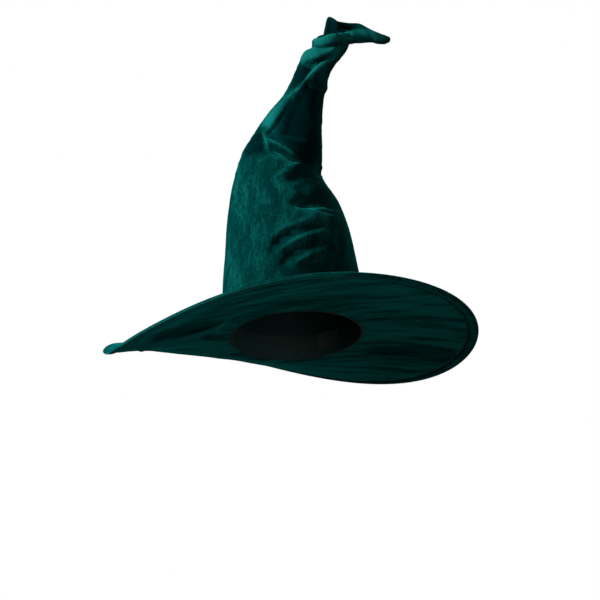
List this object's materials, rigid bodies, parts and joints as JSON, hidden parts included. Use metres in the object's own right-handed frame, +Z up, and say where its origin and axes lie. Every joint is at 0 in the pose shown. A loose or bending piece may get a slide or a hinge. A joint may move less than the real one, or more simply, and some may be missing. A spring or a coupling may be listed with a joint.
{
  "type": "witch hat",
  "caption": "Wide-brimmed velvet witch hat with a tall crumpled crown that bends at two wired folds, and a wired, topstitched brim that dips and lifts.",
  "frame": {"origin": "centre of the head opening, in the plane of the seam where the crown is sewn to the brim", "axes": "+Z up along the lower crown, -Y towards the wearer's front, +X towards the wearer's left"},
  "size_m": [0.4913, 0.4969, 0.4591],
  "materials": {
    "velvet": "crushed velvet, dark teal green, with a bright sheen at grazing angles",
    "foam": "thin black foam padding",
    "interlining": "stiff bonded felt",
    "lining": "dark satin lining",
    "ribbon": "ribbed grosgrain ribbon",
    "tape": "woven cotton tape",
    "thread": "polyester thread",
    "steel": "bright drawn wire",
    "cap": "soft black end cap",
    "label": "blank dark grey satin label"
  },
  "bodies": {
    "hat": {"brim_velvet_top": "velvet", "brim_velvet_under": "velvet", "brim_interlining": "interlining", "topstitch_upper": "thread", "topstitch_under": "thread", "brim_wire": "steel", "brim_wire_sleeve": "steel", "seam_tape": "tape", "sweatband": "ribbon", "sweatband_stitch": "thread", "care_label": "label", "crown_velvet_lower": "velvet", "crown_foam_lower": "foam", "crown_lining_lower": "lining", "crown_wire_lower": "steel", "wire_casing_lower": "tape", "wire_cap_foot": "cap"},
    "upper_crown": {"crown_velvet_upper": "velvet", "crown_lining_upper": "lining", "crown_wire_upper": "steel", "wire_casing_upper": "tape"},
    "tip": {"crown_velvet_tip": "velvet", "crown_wire_tip": "steel", "wire_casing_tip": "tape", "wire_cap_tip": "cap"}
  },
  "joints": [
    {"name": "crown_bend", "type": "hinge", "parent": "hat", "child": "upper_crown", "pos_m": [-0.03776, -0.02313, 0.252], "axis": [0.4226, -0.9063, 0], "range_deg": [0, 28]},
    {"name": "tip_bend", "type": "hinge", "parent": "upper_crown", "child": "tip", "pos_m": [0.04658, 0.01841, 0.379], "axis": [0.4226, -0.9063, 0], "range_deg": [0, 60]}
  ]
}
